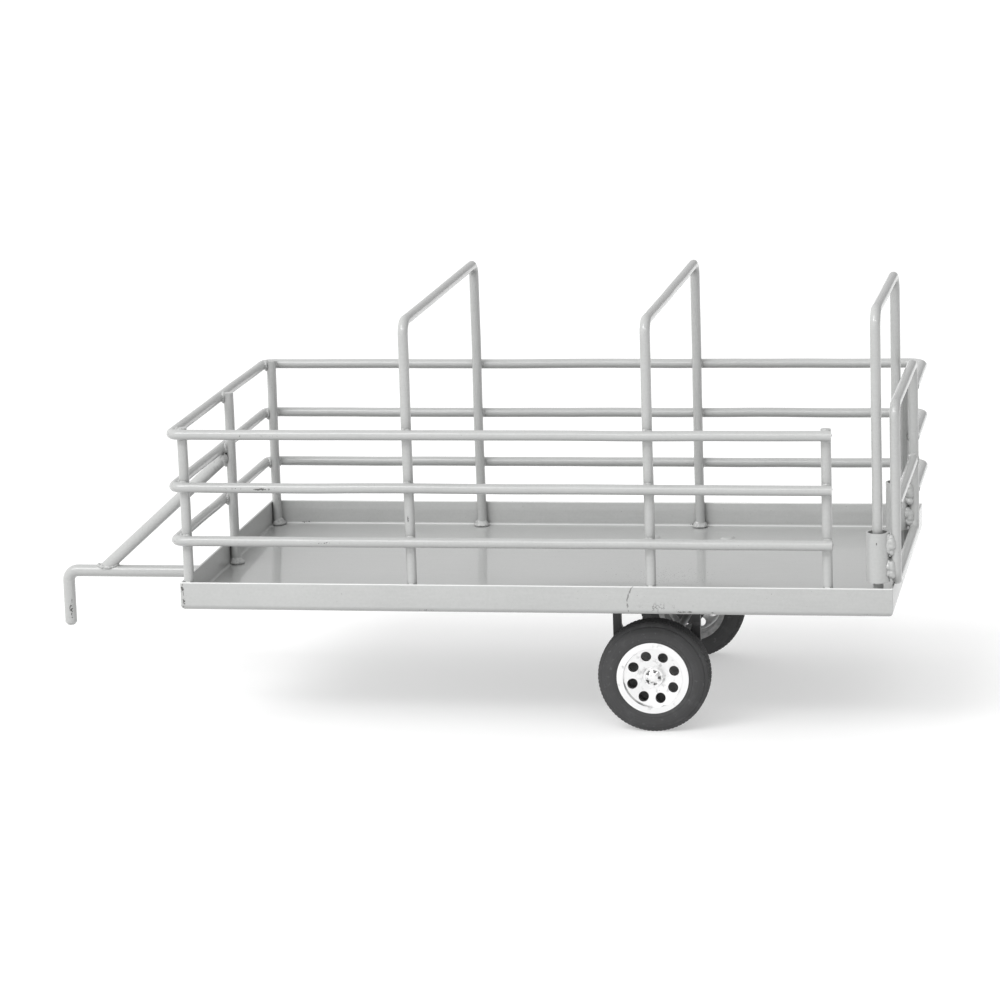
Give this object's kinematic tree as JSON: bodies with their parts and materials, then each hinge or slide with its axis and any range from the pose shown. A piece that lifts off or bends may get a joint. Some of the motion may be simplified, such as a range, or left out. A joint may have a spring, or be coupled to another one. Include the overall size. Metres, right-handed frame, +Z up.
{
  "type": "livestock trailer",
  "caption": "Low open livestock trailer: sheet tray, rod rails and hoops, a lift gate that slides on the rear hoop, a hooked drawbar and two free-turning wheels.",
  "frame": {"origin": "middle of the overall box in X and Y, on the ground under the tyres in Z", "axes": "+X towards the trailer's rear, along its length; +Y to the trailer's right; +Z up"},
  "size_m": [0.3551, 0.163, 0.1695],
  "materials": {
    "body_paint": "satin grey enamel, brushed on",
    "hanger_paint": "satin black",
    "axle_steel": "bright",
    "tyre_rubber": "matt",
    "rim_metal": "turned, bright"
  },
  "bodies": {
    "chassis": {"tray": "body_paint", "top_rail": "body_paint", "middle_rail": "body_paint", "lower_rail": "body_paint", "front_left_post": "body_paint", "front_centre_post": "body_paint", "front_right_post": "body_paint", "left_end_post": "body_paint", "rear_right_post": "body_paint", "front_hoop": "body_paint", "middle_hoop": "body_paint", "rear_hoop": "body_paint", "rail_welds": "body_paint", "foot_welds": "body_paint", "drawbar": "body_paint", "drawbar_brace": "body_paint", "drawbar_welds": "body_paint", "hanger_rivets": "body_paint", "left_axle_hanger": "hanger_paint", "right_axle_hanger": "hanger_paint", "axle": "axle_steel", "axle_caps": "axle_steel"},
    "gate": {"gate_frame": "body_paint", "gate_cross_bar": "body_paint", "left_gate_sleeve": "body_paint", "right_gate_sleeve": "body_paint", "gate_welds": "body_paint"},
    "left_wheel": {"left_tyre": "tyre_rubber", "left_rim": "rim_metal"},
    "right_wheel": {"right_tyre": "tyre_rubber", "right_rim": "rim_metal"}
  },
  "joints": [
    {"name": "gate_lift", "type": "slide", "parent": "chassis", "child": "gate", "axis": [0, 0, 1], "range_m": [0, 0.078]},
    {"name": "left_wheel_spin", "type": "hinge", "parent": "chassis", "child": "left_wheel", "pos_m": [0.07895, -0.0593, 0.022], "axis": [0, 1, 0], "continuous": true},
    {"name": "right_wheel_spin", "type": "hinge", "parent": "chassis", "child": "right_wheel", "pos_m": [0.07895, 0.0593, 0.022], "axis": [0, 1, 0], "continuous": true}
  ]
}
